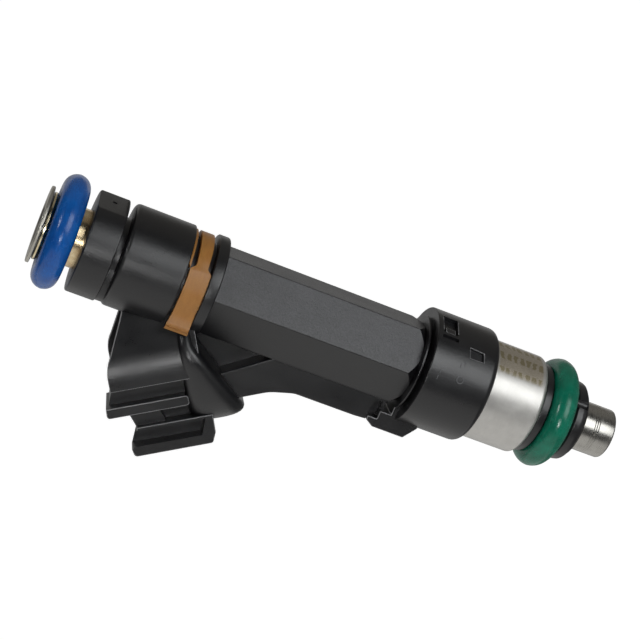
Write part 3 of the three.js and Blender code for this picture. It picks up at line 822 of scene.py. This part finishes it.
def connector_flange():
    """A leaf across the socket's root with a full round edge, thinner towards the tube."""
    front_s, roundness, fullness = 45.3, 2.1, 2.6
    layers = 16
    half = [(-25.0, 3.3), (-21.6, 4.4)]
    half += curve_points((-21.6, 4.4), (-19.4, 6.6), (-17.0, 6.5))
    half += curve_points((-17.0, 6.5), (-13.5, 6.0), (-11.0, 4.9))
    half += curve_points((-11.0, 4.9), (-8.1, 3.6), (-8.0, 1.2), 6)
    outline = half + [(n, -y) for n, y in reversed(half)]
    rings = []
    for k in range(layers + 1):
        across = math.cos(math.pi * k / layers)
        inset = roundness * (1 - (1 - abs(across) ** fullness) ** (1 / fullness))
        ring = []
        for n, y in shrunk(outline, inset):
            thick = 2.15 + 0.49 * max(0.0, n + 19.4)
            ring.append((n, y, front_s - thick * (1 - across) / 2))
        rings.append(ring)
    return moulded(layered("flange", rings, socket_across))


def latch_rails():
    """Two stepped guide rails outside the socket, with the latch ramp in their channel."""
    rails = moulded(prism("web_one", [
        (-15.6, 42.0), (-15.6, 53.8), (-12.6, 54.9), (-12.6, 42.0),
    ], -3.0, 3.0, socket_side, 0.1))
    plate_one = prism("plate_one", rounded([
        (-12.75, 45.0, 0.4), (-12.75, 55.2, 0.12), (-11.45, 55.25, 0.4), (-11.45, 45.0, 0.4),
    ]), -4.6, 4.6, socket_side, 0.11, 3)
    web_two = prism("web_two", [(-12.0, 42.0), (-12.0, 52.9), (-9.3, 52.0), (-9.3, 42.0)],
                    -3.2, 3.2, socket_side, 0.1)
    block_two = prism("block_two", rounded([
        (-9.5, 42.45), (-9.5, 51.9, 0.1), (-6.8, 53.05, 0.25), (-5.75, 52.85, 0.5),
        (-5.75, 43.0, 0.4), (-7.1, 42.45, 0.3),
    ]), -4.1, 4.1, socket_side, 0.11, 3)
    for side in (1, -1):
        pocket = prism("pocket", [(-9.15, 43.4), (-9.15, 54.5), (-7.05, 54.5), (-7.05, 44.2)],
                       *sorted((side * 2.1, side * 5.0)), socket_side)
        combine(block_two, pocket, "DIFFERENCE")
        notch = prism("notch", [(-11.5, 44.2), (-11.5, 48.9), (-9.5, 48.3), (-9.5, 44.2)],
                      *sorted((side * 2.1, side * 4.2)), socket_side)
        combine(web_two, notch, "DIFFERENCE")
    for part in (plate_one, web_two, block_two):
        combine(rails, part, "UNION")
    channel = prism("channel", [(-11.1, -1.7), (-11.1, 1.7), (-5.0, 1.7), (-5.0, -1.7)],
                    45.9, 60.0, socket_across)
    combine(rails, channel, "DIFFERENCE")
    ramp = prism("ramp", rounded([
        (-11.6, 47.6), (-8.8, 47.6, 0.2), (-8.8, 48.4, 0.3), (-11.6, 52.4),
    ]), -1.3, 1.3, socket_side, 0.1)
    combine(rails, ramp, "UNION")
    # The far rail ends lower than the near one.
    trim = prism("trim", [
        (-16.5, 53.0), (-12.75, 54.25), (-11.45, 54.5), (-11.35, 52.1), (-9.5, 51.2),
        (-6.8, 52.3), (-5.0, 52.0), (-5.0, 58.0), (-16.5, 58.0),
    ], -8.0, -1.65, socket_side)
    return combine(rails, trim, "DIFFERENCE")


def lead_rib():
    """The rib that carries the leads up from the valve end, its web and the clip block."""
    rib = moulded(prism("rib", rounded([
        (4.4, 20.8), (8.2, 20.8, 0.3), (8.42, 24.2), (8.4, 32.4, 3.5), (9.3, 35.4, 6.0),
        (13.6, 42.3), (10.2, 43.5), (5.91, 37.87), (4.4, 35.9),
    ], 7), -2.9, 2.9, sideways, 0.22, 3))
    web = prism("web", [(4.4, 35.0), (6.4, 36.0), (11.0, 43.0), (6.4, 48.0), (4.4, 48.0)],
                -0.15, 0.15, sideways)
    clip = prism("clip", rounded([
        (4.4, 15.9), (7.2, 15.9, 0.2), (8.93, 17.2, 0.3), (8.9, 21.5, 0.3), (8.3, 22.5, 0.2),
        (7.7, 22.6, 0.1), (7.7, 21.3, 0.1), (6.6, 21.3, 0.12), (6.6, 19.8), (4.4, 19.8),
    ]), -3.1, 3.1, sideways, 0.11, 3)
    for side in (1, -1):
        slot = sorted((side * 1.5, side * 4.0))
        combine(rib, block("slot", (5.4, 9.0), slot, (21.3, 22.65)), "DIFFERENCE")
        corner = sorted((side * 2.2, side * 4.0))
        combine(rib, block("corner", (5.4, 9.0), corner, (20.0, 21.4)), "DIFFERENCE")
    combine(rib, web, "UNION")
    return combine(rib, clip, "UNION")


def plastic_body():
    """The whole moulding. Its bore clears the metal, and the socket's hollow is cut once more
    through what the neighbours put into it."""
    body = moulded(collar_stack())
    combine(body, hexagon(), "UNION")
    combine(body, groove_floor(), "UNION")
    for part in (socket_shell(), connector_flange(), latch_rails(), lead_rib()):
        combine(body, part, "UNION")
    collar_recesses(body)
    clip_collar_flat(body)
    raised_marks(body)
    bore = turned("bore", rounded([
        (0.0, 9.0), (6.75, 9.0), (6.6, 10.35, 0.3), (6.6, 18.96), (3.8, 18.96), (3.8, 63.3, 0.3),
        (4.2, 64.0), (0.0, 64.0),
    ]))
    combine(body, bore, "DIFFERENCE")
    clear = 0.02
    hollow = prism("hollow", shell_outline(WALL + clear), SOCKET_FLOOR_S + clear, 61.0,
                   socket_across)
    combine(body, hollow, "DIFFERENCE")
    body.name = "plastic_body"
    return finish_piece(body, BLACK, "body_overmould")


# ------------------------------------------------------------------ seals, band and metal
def seal(name, node, material):
    """An O-ring with a faint moulding seam round its outside."""
    seam_height, seam_angle, steps = 0.02, 0.08, 40
    low, high = box_mm(node)
    section = (high.z - low.z) / 2
    middle = high.x - section
    centre = (low.z + high.z) / 2
    outline = []
    for k in range(steps):
        a = 2 * math.pi * k / steps
        from_seam = abs(math.remainder(a, 2 * math.pi))
        out, up = polar(section + seam_height * max(0.0, 1 - from_seam / seam_angle), a)
        outline.append((middle + out, centre + up))
    return finish_piece(turned(name, outline, 160), material, node)


def inlet_parts(steel, tinted):
    """The silver disc with its hub, and the tube drawn out to a lip that carries it."""
    top = box_mm("inlet_flange")[1]
    flange = turned("inlet_disc", rounded([
        (2.94, 65.6, 0.1), (3.17, 65.6, 0.05), (3.17, top.z - 0.45), (top.x, top.z - 0.45, 0.12),
        (top.x, top.z, 0.16), (3.3, top.z, 0.2), (2.94, top.z - 0.35, 0.2),
    ]))
    finish_piece(flange, steel, "inlet_flange")
    tube = turned("drawn_tube", rounded([
        (3.2, 14.0), (3.75, 14.0), (3.75, 67.5, 1.2), (4.3, 68.25, 0.15), (4.3, 68.56, 0.1),
        (3.2, 68.56, 0.1),
    ]))
    finish_piece(tube, tinted, "fuel_tube")


def steel_housing(steel):
    """The magnet's can, with its rounded lower rim."""
    low, high = box_mm("steel_housing")
    r = high.x
    shell = turned("magnet_housing", rounded([
        (3.82, low.z, 0.1), (r, low.z, 0.62), (r, high.z, 0.1), (5.75, high.z),
        (5.75, 4.7), (3.82, 4.7),
    ], 8), 160)
    finish_piece(shell, steel, "steel_housing")


def nozzle(steel):
    """The valve body with its stepped bore and the three weld rings round its tip."""
    low = box_mm("valve_body")[0]
    tip_r, groove_depth, groove_half = 3.3, 0.05, 0.06
    weld = [(tip_r, -5.7)]
    for k in range(3):
        z = -5.95 - 0.3 * k
        weld += [(tip_r, z + groove_half), (tip_r - groove_depth, z), (tip_r, z - groove_half)]
    outline = [(2.75, low.z, 0.08), (tip_r, low.z, 0.42)]
    outline += reversed(weld)
    outline += [(tip_r, -1.8), (3.75, -1.8, 0.1), (3.75, 11.4), (3.2, 11.4), (3.2, 5.2),
                (2.0, 4.6), (2.0, -4.35), (2.75, -4.35)]
    tip = turned("nozzle_tip", rounded(outline))
    finish_piece(tip, steel, "valve_body", crease=20)


def closing_spring(wire):
    """The needle's spring: a coil of round wire over the CAD spring's height."""
    low, high = box_mm("return_spring")
    coil_r, wire_r, turns, lift = 1.25, 0.225, 7, 0.1
    steps, sides = turns * 24, 12
    rings = []
    for k in range(steps + 1):
        share = k / steps
        middle_z = low.z + wire_r + (high.z - low.z - 2 * wire_r) * share
        ring = []
        for j in range(sides):
            out, up = polar(wire_r, 2 * math.pi * j / sides)
            ring.append((*polar(coil_r + out, 2 * math.pi * turns * share), middle_z + up))
        rings.append(ring)
    spring = layered("closing_spring", rings, upright)
    finish_piece(spring, wire, "return_spring")
    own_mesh(spring)


def seal_rings(black):
    """The two black rings beside the green seal: the retainer, with its notch, and the backing."""
    low, high = box_mm("o_ring_retainer")
    r = high.x
    ring = turned("seal_retainer", rounded([
        (3.36, low.z, 0.08), (r - 0.72, low.z, 0.15), (r - 0.1, low.z + 0.5, 0.3),
        (r, low.z + 0.95, 0.2), (r, high.z - 0.4, 0.15), (r - 0.4, high.z, 0.15), (3.36, high.z),
    ]))
    notch_r, notch_half, notch_z = 0.62, 1.5, -2.1
    notch = turned("notch", [(0.0, -notch_half), (notch_r, -notch_half), (notch_r, notch_half),
                             (0.0, notch_half)], 32)
    notch_at = Vector((*polar(5.5, math.radians(133)), notch_z)) * MM
    notch.data.transform(Matrix.Translation(notch_at))
    combine(ring, notch, "DIFFERENCE")
    finish_piece(ring, black, "o_ring_retainer")
    low, high = box_mm("o_ring_backing")
    backing = turned("seal_backing", rounded([
        (3.84, low.z, 0.08), (high.x, low.z, 0.15), (high.x, high.z, 0.15), (3.84, high.z),
    ]))
    finish_piece(backing, black, "o_ring_backing")


def band_path():
    """The band's middle line in X and Y: round the groove, then out past the shell's sides."""
    middle_r, leave, steps = 5.82, 72, 60
    points = []
    for k in range(steps + 1):
        azimuth = 180 - (180 - leave) * k / steps
        points.append(Vector(polar(middle_r, math.radians(azimuth))))
    for point in curve_points(points[-1], (3.5, 4.99), (4.75, 5.75), 12):
        points.append(Vector(point))
    points.append(Vector((5.05, 6.12)))
    mirrored = [Vector((p.x, -p.y)) for p in reversed(points[1:])]
    return mirrored + points


def colour_band(tan):
    """A clip-on ring: full width beside the connector, narrower and slotted round the back."""
    path = band_path()
    half_thick = 0.4
    narrow_from, narrow_over = 116, 5
    flare_from, flare_over = 2.6, 2.4
    rings = []
    for i, p in enumerate(path):
        tangent = (path[min(i + 1, len(path) - 1)] - path[max(i - 1, 0)]).normalized()
        normal = Vector((tangent.y, -tangent.x))
        if normal.dot(p) < 0:
            normal.negate()
        azimuth = abs(math.degrees(math.atan2(p.y, p.x)))
        step = min(1.0, max(0.0, (azimuth - narrow_from) / narrow_over))
        low = 48.2 + 0.6 * step
        high = 50.85 + 0.33 * step
        flare = max(0.0, (p.x - flare_from) / flare_over) ** 2
        thick = half_thick * (1 - 0.3 * flare)
        ring = []
        for side, z in ((-1, low), (1, low), (1, high + 0.3 * flare), (-1, high + 0.3 * flare)):
            ring.append((*(p + normal * (side * thick)), z))
        rings.append(ring)
    band = layered("band", rings, upright)
    combine(band, band_slot(), "DIFFERENCE")
    soften_object(band, 0.07, 2, 40)
    return finish_piece(band, tan, "colour_band")


def band_slot():
    """The slot round the back of the band, wider towards its two pointed ends."""
    half, steps, point_share = 64, 48, 0.09
    inner, outer, top = 4.8, 7.4, 50.92
    rings = []
    for k in range(steps + 1):
        share = -1 + 2 * k / steps
        a = math.radians(180 + half * share)
        near_end = min(1.0, (1 - abs(share)) / point_share)
        low = 50.9 - (0.42 + 0.22 * abs(share)) * near_end - 0.02
        ring = []
        for r, z in ((inner, low), (outer, low), (outer, top), (inner, top)):
            ring.append((*polar(r, a), z))
        rings.append(ring)
    return layered("slot", rings, upright)


def terminals(brass):
    """The two blades in the socket, with chamfered tips."""
    thick, wide, pitch, middle_n = 0.64, 1.5, 6.0, -20.2
    root, shoulder, tip, taper = 45.5, 51.4, 52.2, 0.4
    for where, side in (("left", 1), ("right", -1)):
        low, high = side * pitch / 2 - wide / 2, side * pitch / 2 + wide / 2
        outline = [(low, root), (high, root), (high, shoulder), (high - taper, tip),
                   (low + taper, tip), (low, shoulder)]
        blade = prism(f"blade_{where}", outline, middle_n - thick / 2, middle_n + thick / 2,
                      socket_flat, 0.09)
        finish_piece(blade, brass, f"terminal_{where}")


# ------------------------------------------------------------------ the whole object
add_camera()
add_lights()
add_world()
add_floor()
bpy.context.scene.view_settings.view_transform = "Standard"

BLACK = moulded_plastic("black_nylon", (0.003, 0.003, 0.004), (0.007, 0.007, 0.008),
                        rough=0.34, grain=0.22, depth=0.012)
# Light grey plastic for the bevelled edges: painted edge highlight, with a little wear.
EDGE_WEAR_AND_HIGHLIGHT = moulded_plastic("edge_wear_and_painted_highlight", (0.12, 0.12, 0.124), (0.26, 0.26, 0.266),
                         rough=0.30, grain=0.18, depth=0.006)
GRAINED = moulded_plastic("grained_nylon", (0.010, 0.010, 0.012), (0.076, 0.077, 0.082),
                          rough=0.45, grain=0.24, depth=0.024)
NATURAL = moulded_plastic("natural_nylon", (0.50, 0.48, 0.40), (0.68, 0.66, 0.58),
                          rough=0.5, grain=0.2, depth=0.006)
STEEL = turned_steel("turned_stainless", (0.58, 0.57, 0.54), (0.76, 0.75, 0.72), rough=0.22)
MAGNETIC = turned_steel("magnetic_steel", (0.32, 0.32, 0.33), (0.48, 0.48, 0.49), rough=0.34)
WIRE = turned_steel("spring_wire", (0.42, 0.42, 0.43), (0.60, 0.60, 0.61), rough=0.25)
DISC_STEEL = turned_steel("disc_steel", (0.40, 0.385, 0.34), (0.54, 0.52, 0.465), rough=0.44,
                          lines=0.25, depth=0.0006)
TIP_STEEL = turned_steel("tip_steel", (0.30, 0.29, 0.27), (0.46, 0.45, 0.42), rough=0.26)
BLUE = rubber("blue_seal_rubber", (0.004, 0.064, 0.28), (0.006, 0.112, 0.42))
GREEN = rubber("green_seal_rubber", (0.002, 0.105, 0.060), (0.005, 0.185, 0.112))

plastic_body()
seal("seal_blue", "upper_o_ring", BLUE)
seal("seal_green", "lower_o_ring", GREEN)
inlet_parts(DISC_STEEL, tinted_tube())
steel_housing(etched_housing())
nozzle(TIP_STEEL)
seal_rings(BLACK)
closing_spring(WIRE)
colour_band(band_plastic())
terminals(tinned_brass())

# The inner pieces stay the CAD's own meshes and only change their material.
NODE_LOOKS = {
    "filter_cage": NATURAL,
    "filter_mesh": woven_nylon(),
    "adjusting_sleeve": STEEL,
    "pole_core": MAGNETIC,
    "nonmagnetic_ring": STEEL,
    "armature": MAGNETIC,
    "valve_tube": STEEL,
    "valve_ball": STEEL,
    "valve_seat": STEEL,
    "spray_disc": STEEL,
    "coil_bobbin": BLACK,
    "coil_winding": wound_copper(),
    "flux_washer": MAGNETIC,
}
for node, look in NODE_LOOKS.items():
    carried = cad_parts[node]
    carried.data.materials.clear()
    carried.data.materials.append(look)
